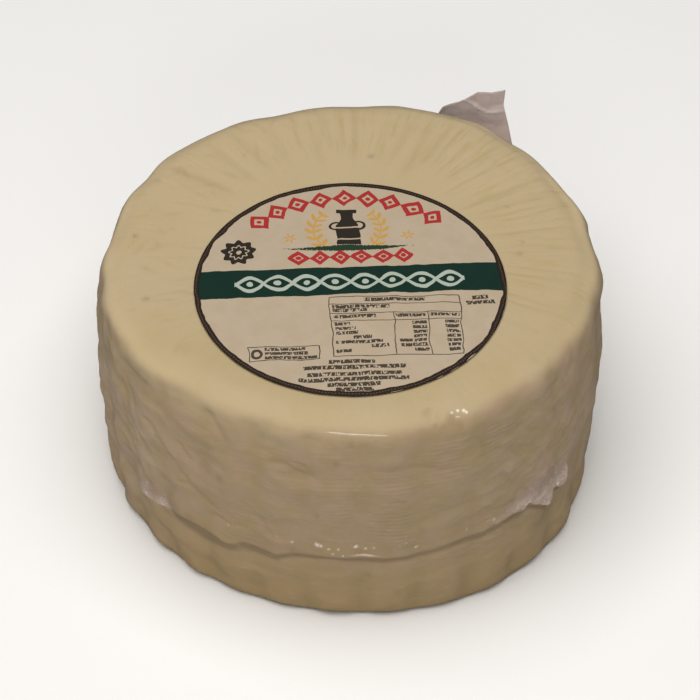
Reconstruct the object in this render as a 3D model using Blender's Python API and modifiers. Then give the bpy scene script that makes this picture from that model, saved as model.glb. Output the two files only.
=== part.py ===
"""A round of basket-moulded ricotta, vacuum-packed in a clear bag that clings to it all over.

Four solids, in metres, +Z up, standing on the flat base at the origin: the packed round, the round label
on its top, the tail of the bag laid round the lower side, and the bag corner that stands up behind.
"""

import math

import bmesh
import bpy
from mathutils import Vector

# The round, turned about Z. Bearings are in degrees from +X, counter-clockwise seen from above.
GIRTH_RADIUS = 0.095
GIRTH_HEIGHT = 0.057
CENTRE_HEIGHT = 0.1001
TOP_RADIUS = 0.0931
TOP_CROWN = 0.0005
SHOULDER_RADIUS = 0.012
BASE_RADIUS = 0.0927
HEEL_RADIUS = 0.006

# The side stays near the girth before it draws in: powers of its curves above and below the girth.
UPPER_CURVE = 2.0
LOWER_CURVE = 1.6

# How far the outline strays from round: lobes, share of the radius and bearing, at the top and at the base.
LOBES = (
    (2, 0.0042, 47, 0.0148, -48),
    (3, 0.0075, -59, 0.0092, -59),
    (4, 0.0028, -39, 0.0057, -45),
    (5, 0.0120, -10, 0.0031, 25),
)

# Ribs of the draining basket, pressed into the side, which give way to wider dents round the shoulder.
RIBS = 29
RIB_BEARING = 229.6
RIB_DEEP = 0.0014
RIB_SHALLOW = 0.0005
RIB_SHALLOW_BEARING = -35
RIB_LEFT_ABOVE = 0.25
DENTS = 18
DENT_BEARING = 98.5
DENT_DEPTH = 0.0011
DENT_HEIGHTS = (0.060, 0.092)
DENT_SHARES = (0.78, 0.98)

# Touching solids stay this far apart.
GAP = 0.0004

# Label
LABEL_RADIUS = 0.0574
LABEL_OFFSET = -0.0198
LABEL_THICKNESS = 0.0003

# Tail of the bag, from its folded left end to the crumpled right one, where it widens to a flap that hangs
# lower. Its free edge waves: waves round the whole turn, size and shift in radians.
TAIL_START = -147
TAIL_END = -31
TAIL_LOW = 0.0262
TAIL_RISE = 0.0105
TAIL_WIDTH = 0.008
TAIL_FLAP_WIDTH = 0.021
TAIL_FLAP_START = -56
TAIL_FLAP_TURN = 14
TAIL_FLAP_DROP = 0.004
TAIL_WAVES = ((11, 0.0012, 0.0), (31, 0.0006, 1.0))
TAIL_TAPER = 4
TAIL_END_WIDTH = 0.45
TAIL_THICKNESS = 0.0006

# Bag corner
EAR_BEARINGS = (70, 46)
EAR_ROOT_HEIGHT = 0.058
EAR_BACK = 0.1005
EAR_LEFT = (0.0340, 0.0815)
EAR_TIP = (0.0606, 0.0925)
EAR_TIP_BACK = 0.103
EAR_ARCH = 0.004
EAR_BOW = 0.004
EAR_THICKNESS = 0.0008

# Fineness of the faceted meshes
RIB_FACETS = 5
COLUMNS = RIBS * RIB_FACETS
TOP_RINGS = (0.3, 0.6, 0.85, 1.0)
SHOULDER_STEPS = 6
SIDE_STEPS = 7
HEEL_STEPS = 3
LABEL_RINGS = 10
LABEL_SIDES = 44
TAIL_COLUMNS = 58
TAIL_ROWS = 3
EAR_COLUMNS = 8
EAR_ROWS = 7
MERGE_DISTANCE = 0.00001
SHARP_ANGLE = 50

PART_NAME = "moulded_ricotta_round"


def smooth_step(low, high, value):
    """0 below low, 1 above high, and a smooth rise between."""
    share = min(max((value - low) / (high - low), 0.0), 1.0)
    return share * share * (3 - 2 * share)


def lobe_factor(bearing, height):
    """The uneven outline at a bearing in radians, as a factor on the radius."""
    share = min(max(height / CENTRE_HEIGHT, 0.0), 1.0)
    top = 1.0
    base = 1.0
    for count, top_size, top_bearing, base_size, base_bearing in LOBES:
        top += top_size * math.cos(count * (bearing - math.radians(top_bearing)))
        base += base_size * math.cos(count * (bearing - math.radians(base_bearing)))
    return share * top + (1 - share) * base


def wave(count, bearing, crest):
    """A wave round the axis, 0.5 at its crests and -0.5 between them. The crest is in degrees."""
    return 0.5 * math.cos(count * (bearing - math.radians(crest)))


def rib_offset(bearing, height):
    """How far ribs and dents move the surface out or in, in metres."""
    facing = 0.5 + wave(1, bearing, RIB_SHALLOW_BEARING)
    depth = RIB_DEEP + (RIB_SHALLOW - RIB_DEEP) * facing
    upper = smooth_step(*DENT_HEIGHTS, height)
    ribs = depth * wave(RIBS, bearing, RIB_BEARING) * (1 - (1 - RIB_LEFT_ABOVE) * upper)
    return ribs + DENT_DEPTH * wave(DENTS, bearing, DENT_BEARING) * upper


def crest_height():
    """Height of the rim of the top, where the shoulder starts to fall."""
    return CENTRE_HEIGHT - TOP_CROWN * ((TOP_RADIUS - SHOULDER_RADIUS) / TOP_RADIUS) ** 2


def top_height(radius):
    """Height of the top at a distance from the axis."""
    return CENTRE_HEIGHT - TOP_CROWN * (radius / TOP_RADIUS) ** 2


def side_radius(height):
    """Radius of the plain side at a height between heel and shoulder."""
    shoulder_height = crest_height() - SHOULDER_RADIUS
    if height >= GIRTH_HEIGHT:
        share = (height - GIRTH_HEIGHT) / (shoulder_height - GIRTH_HEIGHT)
        return GIRTH_RADIUS + (TOP_RADIUS - GIRTH_RADIUS) * share**UPPER_CURVE
    share = (GIRTH_HEIGHT - height) / (GIRTH_HEIGHT - HEEL_RADIUS)
    return GIRTH_RADIUS + (BASE_RADIUS - GIRTH_RADIUS) * share**LOWER_CURVE


def surface_radius(bearing, height):
    """Radius of the finished side, with its unevenness and ribs."""
    return side_radius(height) * lobe_factor(bearing, height) + rib_offset(bearing, height)


def half_profile():
    """Radius and height of the turned outline, from the top's centre over the side to the base's centre."""
    points = [(0.0, CENTRE_HEIGHT)]
    flat_radius = TOP_RADIUS - SHOULDER_RADIUS
    for share in TOP_RINGS:
        points.append((flat_radius * share, top_height(flat_radius * share)))
    for step in range(1, SHOULDER_STEPS + 1):
        lean = math.radians(90 * step / SHOULDER_STEPS)
        radius = flat_radius + SHOULDER_RADIUS * math.sin(lean)
        points.append((radius, crest_height() - SHOULDER_RADIUS * (1 - math.cos(lean))))
    shoulder_height = points[-1][1]
    for step in range(1, SIDE_STEPS + 1):
        height = shoulder_height + (HEEL_RADIUS - shoulder_height) * step / SIDE_STEPS
        points.append((side_radius(height), height))
    for step in range(1, HEEL_STEPS + 1):
        lean = math.radians(90 * step / HEEL_STEPS)
        radius = BASE_RADIUS - HEEL_RADIUS * (1 - math.cos(lean))
        points.append((radius, HEEL_RADIUS * (1 - math.sin(lean))))
    points.append((0.0, 0.0))
    return points


def material(name, colour, roughness):
    """A Principled material of one colour."""
    made = bpy.data.materials.new(name)
    made.use_nodes = True
    shader = made.node_tree.nodes["Principled BSDF"]
    shader.inputs["Base Color"].default_value = (*colour, 1.0)
    shader.inputs["Roughness"].default_value = roughness
    shader.inputs["Metallic"].default_value = 0.0
    return made


def spin_profile(points, steps):
    """A shape turned about Z from radii and heights."""
    shape = bmesh.new()
    verts = [shape.verts.new((radius, 0.0, height)) for radius, height in points]
    edges = [shape.edges.new(pair) for pair in zip(verts, verts[1:])]
    turned = {"geom": verts + edges, "axis": (0, 0, 1), "cent": (0, 0, 0)}
    bmesh.ops.spin(shape, **turned, angle=math.tau, steps=steps, use_duplicate=False)
    bmesh.ops.remove_doubles(shape, verts=shape.verts, dist=MERGE_DISTANCE)
    return shape


def face_outwards(shape, outwards):
    """Turns all faces of a shape the same way. On a sheet, outwards is the way its faces look."""
    bmesh.ops.recalc_face_normals(shape, faces=shape.faces)
    if outwards and sum(face.normal.dot(outwards) * face.calc_area() for face in shape.faces) < 0:
        bmesh.ops.reverse_faces(shape, faces=shape.faces)


def add_object(name, shape, collection, finish):
    """Makes a bmesh into a smooth-shaded object of the part."""
    mesh = bpy.data.meshes.new(name)
    shape.to_mesh(mesh)
    shape.free()
    mesh.shade_smooth()
    mesh.set_sharp_from_angle(angle=math.radians(SHARP_ANGLE))
    mesh.materials.append(finish)
    made = bpy.data.objects.new(name, mesh)
    collection.objects.link(made)
    return made


def thicken(piece, thickness):
    """Gives an open sheet its thickness, outwards."""
    wall = piece.modifiers.new("wall", "SOLIDIFY")
    wall.thickness = thickness
    wall.offset = 1.0


def add_round(collection):
    """The cheese in its clinging bag: a turned profile, pushed in by lobes, ribs and dents."""
    shape = spin_profile(half_profile(), COLUMNS)
    for vert in shape.verts:
        radius = math.hypot(vert.co.x, vert.co.y)
        if radius < MERGE_DISTANCE:
            continue
        bearing = math.atan2(vert.co.y, vert.co.x)
        outer = smooth_step(*DENT_SHARES, radius / TOP_RADIUS)
        moved = radius * lobe_factor(bearing, vert.co.z) + rib_offset(bearing, vert.co.z) * outer
        vert.co.x = moved * math.cos(bearing)
        vert.co.y = moved * math.sin(bearing)
    face_outwards(shape, None)
    finish = material("clear_film_on_curd", (0.60, 0.48, 0.30), 0.35)
    return add_object("packed_round", shape, collection, finish)


def add_label(collection):
    """The round label: rings turned about its own centre, then laid on the top."""
    spacing = LABEL_RADIUS / LABEL_RINGS
    shape = spin_profile([(spacing * ring, 0.0) for ring in range(LABEL_RINGS + 1)], LABEL_SIDES)
    bmesh.ops.translate(shape, verts=shape.verts, vec=(0, LABEL_OFFSET, 0))
    for vert in shape.verts:
        vert.co.z = top_height(math.hypot(vert.co.x, vert.co.y)) + GAP
    face_outwards(shape, Vector((0, 0, 1)))
    piece = add_object("label", shape, collection, material("label_paper", (0.60, 0.50, 0.38), 0.45))
    thicken(piece, LABEL_THICKNESS)
    return piece


def tail_point(along, across):
    """A point of the tail: along runs from its left end to its right one, across from its free edge up."""
    degrees = TAIL_START + (TAIL_END - TAIL_START) * along
    bearing = math.radians(degrees)
    flap = smooth_step(TAIL_FLAP_START, TAIL_FLAP_START + TAIL_FLAP_TURN, degrees)
    low = TAIL_LOW + TAIL_RISE * smooth_step(TAIL_START, TAIL_FLAP_START, degrees) - TAIL_FLAP_DROP * flap
    low += sum(size * math.sin(count * bearing + shift) for count, size, shift in TAIL_WAVES)
    width = TAIL_WIDTH + (TAIL_FLAP_WIDTH - TAIL_WIDTH) * flap
    taper = smooth_step(TAIL_START, TAIL_START + TAIL_TAPER, degrees)
    taper *= 1 - smooth_step(TAIL_END - TAIL_TAPER, TAIL_END, degrees)
    height = low + width * (0.5 + (across - 0.5) * (TAIL_END_WIDTH + (1 - TAIL_END_WIDTH) * taper))
    radius = surface_radius(bearing, height) + GAP
    return Vector((radius * math.cos(bearing), radius * math.sin(bearing), height))


def add_tail(collection):
    """The sealed end of the bag, a flat grid wrapped round the lower side."""
    shape = bmesh.new()
    bmesh.ops.create_grid(shape, x_segments=TAIL_COLUMNS, y_segments=TAIL_ROWS, size=0.5)
    for vert in shape.verts:
        vert.co = tail_point(vert.co.x + 0.5, vert.co.y + 0.5)
    face_outwards(shape, Vector((0, -1, 0)))
    piece = add_object("bag_tail", shape, collection, material("sealed_film", (0.42, 0.33, 0.22), 0.3))
    thicken(piece, TAIL_THICKNESS)
    return piece


def ear_point(along, up):
    """A point of the bag corner: along from its left side to its right, up from its root on the side."""
    bearing = math.radians(EAR_BEARINGS[0] + (EAR_BEARINGS[1] - EAR_BEARINGS[0]) * along)
    reach = surface_radius(bearing, EAR_ROOT_HEIGHT) + GAP
    root = Vector((reach * math.cos(bearing), reach * math.sin(bearing), EAR_ROOT_HEIGHT))
    left = Vector((EAR_LEFT[0], EAR_BACK, EAR_LEFT[1]))
    tip = Vector((EAR_TIP[0], EAR_TIP_BACK, EAR_TIP[1]))
    edge = left.lerp(tip, along)
    edge.z += EAR_ARCH * math.sin(math.pi * along)
    point = root.lerp(edge, up)
    point.y += EAR_BOW * math.sin(math.pi * up)
    return point


def add_ear(collection):
    """The corner of the bag, two layers of film that stand up behind the shoulder."""
    shape = bmesh.new()
    bmesh.ops.create_grid(shape, x_segments=EAR_COLUMNS, y_segments=EAR_ROWS, size=0.5)
    for vert in shape.verts:
        vert.co = ear_point(vert.co.x + 0.5, vert.co.y + 0.5)
    face_outwards(shape, Vector((0, 1, 0)))
    piece = add_object("bag_corner", shape, collection, material("slack_film", (0.38, 0.28, 0.23), 0.3))
    thicken(piece, EAR_THICKNESS)
    return piece


for old in list(bpy.data.objects):
    bpy.data.objects.remove(old)
parts = bpy.data.collections.new(PART_NAME)
bpy.context.scene.collection.children.link(parts)
add_round(parts)
add_label(parts)
add_tail(parts)
add_ear(parts)
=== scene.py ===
import math
import random

import bmesh
import bpy
import numpy as np
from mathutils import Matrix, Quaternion, Vector, noise
from mathutils.bvhtree import BVHTree


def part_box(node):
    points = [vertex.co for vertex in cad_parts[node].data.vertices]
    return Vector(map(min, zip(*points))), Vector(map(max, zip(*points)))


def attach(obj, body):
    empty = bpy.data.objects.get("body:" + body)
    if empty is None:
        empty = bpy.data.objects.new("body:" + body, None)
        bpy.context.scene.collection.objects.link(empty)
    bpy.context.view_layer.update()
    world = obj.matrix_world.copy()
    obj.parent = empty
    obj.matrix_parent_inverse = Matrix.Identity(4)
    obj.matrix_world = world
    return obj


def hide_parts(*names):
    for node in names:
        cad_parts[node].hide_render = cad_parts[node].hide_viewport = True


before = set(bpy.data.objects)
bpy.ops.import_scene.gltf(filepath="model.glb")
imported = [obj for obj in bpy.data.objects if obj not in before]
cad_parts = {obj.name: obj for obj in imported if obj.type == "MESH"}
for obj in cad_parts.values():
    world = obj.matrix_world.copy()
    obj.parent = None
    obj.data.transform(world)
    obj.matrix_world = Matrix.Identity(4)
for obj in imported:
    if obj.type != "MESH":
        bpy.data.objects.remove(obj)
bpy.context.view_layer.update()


# The cheese. Ricotta drained in a ribbed basket and turned out: a soft cream round with shallow ribs, the
# basket's fine rings in patches between them, small holes and soft folds. It lies just inside its film.
MM = 0.001
FILM_GAP = 0.0003
CHEESE_COLUMNS = 435
CHEESE_RADIUS = 0.0945
SWELL = 0.0006
SHOULDER = 0.012
HEEL = 0.006
RIB_COUNT = 29
RIB_BEARING = 229.6
RING_PITCH = 0.0019


def select_alone(piece):
    """Makes a piece the only selected and the active one."""
    bpy.ops.object.select_all(action="DESELECT")
    piece.select_set(True)
    bpy.context.view_layer.objects.active = piece


def pick(piece, kind, wanted):
    """In edit mode, selects the faces or edges that wanted says yes to, and nothing else."""
    bpy.ops.mesh.select_all(action="DESELECT")
    bpy.ops.mesh.select_mode(type="FACE" if kind == "faces" else "EDGE")
    cage = bmesh.from_edit_mesh(piece.data)
    for part in getattr(cage, kind):
        part.select = wanted(part)
    cage.select_flush_mode()
    bmesh.update_edit_mesh(piece.data)


def smooth_form(node):
    """A merged and smoothed copy of a CAD node, to lay finer meshes on."""
    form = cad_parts[node].copy()
    form.data = form.data.copy()
    form.parent = None
    bpy.context.collection.objects.link(form)
    select_alone(form)
    bpy.ops.object.mode_set(mode="EDIT")
    bpy.ops.mesh.select_all(action="SELECT")
    bpy.ops.mesh.remove_doubles(threshold=0.00001)
    bpy.ops.mesh.tris_convert_to_quads(face_threshold=math.radians(60), shape_threshold=math.radians(60))
    bpy.ops.object.mode_set(mode="OBJECT")
    rounding = form.modifiers.new("rounding", "SUBSURF")
    rounding.levels = 2
    rounding.render_levels = 2
    bpy.ops.object.modifier_apply(modifier="rounding")
    return form


def lay_on(piece, form):
    """Draws a mesh onto the nearest surface of a form."""
    wrap = piece.modifiers.new("wrap", "SHRINKWRAP")
    wrap.target = form
    wrap.wrap_method = "NEAREST_SURFACEPOINT"
    select_alone(piece)
    bpy.ops.object.modifier_apply(modifier="wrap")


def rim_edge(edge, height):
    """True for an edge that lies level at a height."""
    return all(abs(vert.co.z - height) < 0.0001 for vert in edge.verts)


def upright(edge):
    """True for an edge that stands straight up."""
    run = edge.verts[1].co - edge.verts[0].co
    return abs(run.z) > 0.0005 and run.xy.length < 0.00001


def level_cap(face, up):
    """True for the one many-sided face that closes the top, or the base."""
    return len(face.verts) > 100 and face.normal.z * up > 0.9


def inset_rings(count, step):
    """Insets the picked faces again and again, by one step each time."""
    for ring in range(count):
        bpy.ops.mesh.inset(thickness=step)


round_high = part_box("packed_round")[1]
round_form = smooth_form("packed_round")
bpy.ops.object.select_all(action="DESELECT")
bpy.ops.mesh.primitive_cylinder_add(
    vertices=CHEESE_COLUMNS, radius=CHEESE_RADIUS, depth=round_high.z, end_fill_type="NGON",
    location=(0, 0, round_high.z / 2),
)
cheese = bpy.context.object
cheese.name = "ricotta"
bpy.ops.object.transform_apply(location=True, rotation=False, scale=False)
bpy.ops.object.mode_set(mode="EDIT")
pick(cheese, "edges", lambda edge: rim_edge(edge, round_high.z))
bpy.ops.mesh.bevel(offset=SHOULDER, segments=14, affect="EDGES")
pick(cheese, "edges", lambda edge: rim_edge(edge, 0.0))
bpy.ops.mesh.bevel(offset=HEEL, segments=5, affect="EDGES")
pick(cheese, "faces", lambda face: level_cap(face, 1))
inset_rings(24, 0.0013)
inset_rings(6, 0.0080)
bpy.ops.mesh.poke()
pick(cheese, "faces", lambda face: level_cap(face, -1))
inset_rings(8, 0.0105)
bpy.ops.mesh.poke()
pick(cheese, "edges", upright)
bpy.ops.mesh.subdivide(number_cuts=79)
pick(cheese, "edges", upright)
bpy.ops.mesh.subdivide(number_cuts=1)
bpy.ops.object.mode_set(mode="OBJECT")
lay_on(cheese, round_form)


def rise(low, high, value):
    """0 below low, 1 above high and smooth between, on numbers or arrays."""
    share = np.clip((value - low) / (high - low), 0.0, 1.0)
    return share * share * (3 - 2 * share)


def hump(value, middle, half_width):
    """1 at the middle, falling off smoothly on both sides."""
    return np.exp(-(((value - middle) / half_width) ** 2))


def coordinates(mesh, kind):
    """The positions or normals of a mesh's vertices, as an array."""
    flat = np.empty(len(mesh.vertices) * 3, np.float32)
    if kind == "normal":
        mesh.vertex_normals.foreach_get("vector", flat)
    else:
        mesh.vertices.foreach_get("co", flat)
    return flat.reshape(-1, 3).astype(float)


def move_to(piece, new_places):
    """Puts a mesh's vertices at new places."""
    piece.data.vertices.foreach_set("co", new_places.astype(np.float32).ravel())
    piece.data.shade_smooth()
    piece.data.update()


def add_layer(piece, name, values):
    """Stores a number from 0 to 1 at each vertex, for a material to read."""
    layer = piece.data.attributes.new(name, "FLOAT", "POINT")
    layer.data.foreach_set("value", np.clip(values, 0, 1).astype(np.float32))


def cloudy(spots, size, seed):
    """Smooth noise from -1 to 1 at each spot, with lumps of about the size given."""
    shift = Vector((seed * 7.3, seed * 3.1, seed * 5.7))
    return np.array([noise.noise(Vector(spot) / size + shift) for spot in spots])


def turned(first, second):
    """The way round from one bearing to another, in degrees from -180 to 180."""
    return (first - second + 180) % 360 - 180


places = coordinates(cheese.data, "co")
normals = coordinates(cheese.data, "normal")
bearings = np.degrees(np.arctan2(places[:, 1], places[:, 0]))
distances = np.hypot(places[:, 0], places[:, 1])
heights = places[:, 2]
on_top = rise(0.55, 0.9, normals[:, 2])
on_side = 1 - rise(0.25, 0.6, np.abs(normals[:, 2]))
on_shoulder = rise(0.086, 0.093, heights) * (1 - on_top)
depth = np.zeros(len(places))
# How much painted shade each spot gets in the grooves, creases and dents below, with a random tone for each
# rib
hollow_shade_and_tone = np.zeros(len(places))


def toward(bearing, reach):
    """1 at a bearing, falling off smoothly to both sides."""
    return hump(turned(bearings, bearing), 0, reach)


# The curd fills its film: its side stands a little proud, most at the heel and at the right of the rim
rim_right = toward(8, 30) * rise(0.040, 0.080, heights)
depth -= (SWELL + 0.0002 * rim_right) * (1 - on_top)
depth -= SWELL * hump(heights, 0.003, 0.012) * (normals[:, 2] > -0.9)

# Where the soft curd has slumped over its shoulder: bearing, reach in degrees and how far it stands out
for bearing, reach, amount in ((-146, 12, 0.0009), (22, 12, 0.0009)):
    depth -= amount * toward(bearing, reach) * on_shoulder


def radial_groove(bearing, inner, outer, half_width, bend):
    """A groove that runs out over the top at a bearing, from one distance to another."""
    off_line = np.radians(turned(bearings, bearing + bend * (distances - 0.07) / 0.02)) * distances
    run = rise(inner - 0.004, inner + 0.004, distances) * (1 - rise(outer - 0.004, outer + 0.004, distances))
    return hump(off_line, 0, half_width) * run * on_top


# Wrinkles on the top, where the shrinking film drew the soft curd together. For each stretch of bearings: the
# steps between them in degrees, how strong, how wide, how bent, and how far out they end
dice = random.Random(11)
WRINKLES = (
    (-24, 62, (2.4, 4.6), 1.0, (0.0004, 0.0008), 1.2, (0.078, 0.086)),
    (62, 150, (3.5, 7.0), 0.75, (0.0009, 0.0019), 1.5, (0.074, 0.085)),
    (150, 236, (3.5, 7.5), 0.40, (0.0005, 0.0010), 6.0, (0.066, 0.082)),
    (236, 336, (6.0, 12.0), 0.25, (0.0007, 0.0014), 2.0, (0.070, 0.084)),
)
for start, end, steps, strength, widths, bend, ends in WRINKLES:
    bearing = start
    while bearing < end:
        share = strength * dice.uniform(0.4, 1.0)
        ridge = dice.random() < 0.3
        inner = dice.uniform(0.048, 0.062)
        outer = dice.uniform(*ends)
        half_width = dice.uniform(*widths)
        groove = radial_groove(bearing, inner, outer, half_width, dice.uniform(-bend, bend))
        depth += (-0.00016 if ridge else 0.00030) * share * groove
        hollow_shade_and_tone += (0.0 if ridge else 0.8) * share * groove
        bearing += dice.uniform(*steps)

# Short slanting creases at the back and the left of the top
for crease in range(34):
    turn = math.radians(dice.uniform(95, 235))
    middle = np.array((math.cos(turn), math.sin(turn))) * dice.uniform(0.062, 0.086)
    lie = turn + dice.choice((-1, 1)) * math.radians(dice.uniform(15, 65))
    ahead = (places[:, :2] - middle) @ np.array((math.cos(lie), math.sin(lie)))
    aside = (places[:, :2] - middle) @ np.array((-math.sin(lie), math.cos(lie)))
    groove = hump(aside, 0, dice.uniform(0.0005, 0.0010))
    groove = groove * hump(ahead, 0, dice.uniform(0.002, 0.0045)) * on_top
    depth += 0.00022 * dice.uniform(0.4, 1.0) * groove
    hollow_shade_and_tone += 0.55 * groove

# Fine arcs that follow the rim at the back right
arcs = (0.5 - 0.5 * np.cos(math.tau * distances / 0.0016)) * rise(0.070, 0.075, distances) * on_top
arcs = arcs * toward(62, 40)
depth += 0.00005 * arcs
hollow_shade_and_tone += 0.16 * arcs

# The curd is lumpier at the left and at the right of the side than at the front
lumpy_left = toward(-140, 30)
lumpy_right = toward(-42, 24) * on_side

# The basket's rings, in patches that differ from rib to rib, and clearest above the sealed edge
rib_phase = RIB_COUNT * (bearings - RIB_BEARING) / 360
rib_index = np.floor(rib_phase + 0.5).astype(int) % RIB_COUNT
rib_place = rib_phase - np.floor(rib_phase + 0.5)
for rib in range(RIB_COUNT):
    mine = rib_index == rib
    level = heights[mine]
    window = (1 - (2 * np.abs(rib_place[mine])) ** 4) * on_side[mine]
    window = window * (0.35 + 0.65 * rise(0.028, 0.036, level)) * (1 - 0.7 * lumpy_left[mine])
    offset = dice.uniform(0, 1)
    spans = np.zeros(mine.sum())
    for span in range(4):
        middle = dice.uniform(0.015, 0.088)
        reach = dice.uniform(0.006, 0.013)
        within = 1 - rise(reach - 0.003, reach + 0.003, np.abs(level - middle))
        spans = np.maximum(spans, dice.uniform(0.3, 1.0) * within)
    slope = dice.uniform(-0.0020, 0.0020) * rib_place[mine]
    ripple = 0.5 - 0.5 * np.cos(math.tau * ((level + slope) / RING_PITCH + offset))
    depth[mine] += 0.00030 * window * spans * ripple
    # Painted shade in the ring grooves, and a random tone for the whole rib
    hollow_shade_and_tone[mine] += 0.65 * window * spans * ripple + dice.uniform(0.0, 0.30) * on_side[mine]

# The grooves between the ribs, deepest at the heel, with painted shade in them
rib_edge = hump(np.abs(rib_place), 0.5, 0.16) * on_side
depth += (0.00026 + 0.0013 * (1 - rise(0.004, 0.026, heights))) * rib_edge
hollow_shade_and_tone += 0.50 * rib_edge

# Soft lumps all over, and folds that run slantwise down the side. For each fold: bearing and height at each
# end, half width and depth, in degrees and millimetres
squashed = places * (1, 1, 1.5)
depth += 0.0010 * cloudy(squashed, 0.015, 1) * (0.25 + 0.75 * on_side) * (1 + 0.6 * lumpy_left)
soft_lumps = cloudy(squashed, 0.0065, 2)
depth += 0.00030 * soft_lumps * (0.3 + 0.7 * on_side + 0.5 * lumpy_left * on_side)
small_lumps = cloudy(squashed, 0.0034, 3)
depth += (0.00008 + 0.00036 * lumpy_right) * small_lumps * on_side
hollow_shade_and_tone += (0.10 + 0.50 * lumpy_right) * np.maximum(small_lumps, 0) * on_side
hollow_shade_and_tone += 0.35 * np.maximum(soft_lumps, 0) * on_side
FOLDS = (
    (-147, 88, -126, 74, 3, 0.6),
    (-125, 91, -118, 83, 1.6, 0.6),
    (-108, 78, -99, 77, 1.5, 0.7),
    (-133, 68, -128, 65, 1.3, 0.8),
    (-142, 71, -136, 64, 1.3, 0.7),
    (-150, 52, -141, 36, 1.5, 0.7),
    (-124, 38, -117, 41, 1.2, 0.6),
    (-112, 48, -107, 42, 1.1, 0.8),
    (-152, 82, -145, 50, 2.6, 0.4),
    (-60, 76, -40, 62, 2.8, 0.4),
    (-45, 86, -34, 70, 1.6, 0.5),
    (-75, 50, -58, 56, 2.2, 0.5),
    (-150, 80, -143, 66, 1.6, 0.6),
    (-139, 81, -131, 73, 1.4, 0.5),
    (-136, 60, -127, 52, 1.5, 0.5),
    (-146, 60, -139, 51, 1.4, 0.6),
    (-131, 50, -122, 46, 1.3, 0.5),
    (-52, 70, -46, 58, 1.2, 0.6),
    (-46, 66, -41, 56, 1.2, 0.6),
    (-56, 62, -50, 54, 1.2, 0.5),
    (-38, 72, -33, 58, 1.2, 0.6),
    (-62, 68, -57, 60, 1.1, 0.5),
    (-50, 80, -44, 74, 1.2, 0.5),
    (-102.2, 80.3, -97, 75.3, 1.1, 0.7),
    (-82.2, 78.8, -66.8, 76.2, 1.2, 0.5),
    (-81.3, 61.9, -77.8, 65, 1, 0.6),
    (20, 70, 45, 52, 2.2, 0.7),
    (95, 80, 120, 60, 2.2, 0.7),
    (150, 50, 175, 68, 2.2, 0.7),
)
bridged = np.zeros(len(places))
for start, start_height, end, end_height, half_width, fold_depth in FOLDS:
    along = np.clip(turned(bearings, start) / turned(end, start), -0.2, 1.2)
    line = start_height + (end_height - start_height) * along + 1.5 * np.sin(5 * along)
    groove = hump(heights, line * MM, half_width * MM) * (1 - on_top)
    groove = groove * rise(-0.15, 0.2, along) * (1 - rise(0.8, 1.15, along))
    depth += fold_depth * MM * groove
    hollow_shade_and_tone += 0.45 * groove
    bridged = np.maximum(bridged, groove)

# Small holes and dents all over, and the few larger ones, with painted shade in them: bearing, distance and
# height, size, depth, darkness of the shade
pit_shade = np.zeros(len(places))
pits = []
for pit in range(110):
    turn = dice.uniform(-180, 180)
    if dice.random() < 0.2:
        spot = (turn, dice.uniform(0.03, 0.085), round_high.z)
    else:
        spot = (turn, 0.094, dice.uniform(0.008, 0.095))
    pits.append((*spot, dice.uniform(0.0006, 0.0014), dice.uniform(0.0001, 0.0004), dice.uniform(0.0, 0.6)))
pits += [
    (-71.6, 0.0879, 0.0981, 0.0016, 0.0009, 0.25),
    (-66.3, 0.0913, 0.0949, 0.0019, 0.0012, 0.35),
    (-65.0, 0.0927, 0.0924, 0.0014, 0.0010, 0.35),
    (-69.5, 0.0895, 0.0968, 0.0011, 0.0006, 0.20),
    (-89.9, 0.0930, 0.0912, 0.0009, 0.0004, 0.80),
    (-88.7, 0.0945, 0.0914, 0.0009, 0.0004, 0.70),
    (-102.5, 0.0945, 0.0759, 0.0010, 0.0004, 0.60),
    (-73, 0.0945, 0.0641, 0.0008, 0.0004, 0.80),
    (-78.2, 0.0945, 0.0651, 0.0008, 0.0004, 0.70),
    (-66.7, 0.0945, 0.0682, 0.0009, 0.0004, 0.80),
    (-68.6, 0.0945, 0.0519, 0.0008, 0.0004, 0.60),
    (-109.2, 0.0945, 0.0487, 0.0010, 0.0004, 0.70),
    (173.9, 0.0808, round_high.z, 0.0010, 0.0003, 0.90),
    (-160.8, 0.0791, round_high.z, 0.0010, 0.0003, 0.80),
    (82.0, 0.0554, round_high.z, 0.0012, 0.0004, 0.60),
]
for turn, distance, level, size, pit_depth, darkness in pits:
    spot = np.array((math.cos(math.radians(turn)) * distance, math.sin(math.radians(turn)) * distance, level))
    dip = hump(np.linalg.norm((places - spot) * np.array((1, 1, 0.7)), axis=1), 0, size)
    depth += pit_depth * dip
    pit_shade += darkness * dip

# Wet dimples on the front of the shoulder, darkened with painted shade, and the painted glints on them:
# place, reach, and how dark
DIMPLES = (
    ((0.0370, -0.0832, 0.0959), 0.0016, 0.7), ((0.0370, -0.0842, 0.0948), 0.0016, 0.7),
    ((0.0280, -0.0820, 0.0989), 0.0018, 0.45), ((0.0281, -0.0840, 0.0981), 0.0019, 0.55),
    ((0.0283, -0.0856, 0.0971), 0.0017, 0.50), ((0.0304, -0.0869, 0.0950), 0.0017, 0.50),
    ((0.0329, -0.0867, 0.0940), 0.0014, 0.55), ((0.0340, -0.0862, 0.0941), 0.0014, 0.55),
    ((0.0398, -0.0844, 0.0922), 0.0018, 0.45),
)
GLINTS = (
    ((0.0363, -0.0819, 0.0968), 0.0011), ((0.0383, -0.0808, 0.0968), 0.0009),
    ((0.0405, -0.0804, 0.0965), 0.0011), ((0.0414, -0.0806, 0.0958), 0.0009),
)

cheese_places = places - normals * (depth + FILM_GAP)[:, None]
cheese_places[:, 2] = np.maximum(cheese_places[:, 2], FILM_GAP)
move_to(cheese, cheese_places)
add_layer(cheese, "hollow_shade_and_tone", hollow_shade_and_tone)
add_layer(cheese, "painted_pit_shade", pit_shade)
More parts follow.
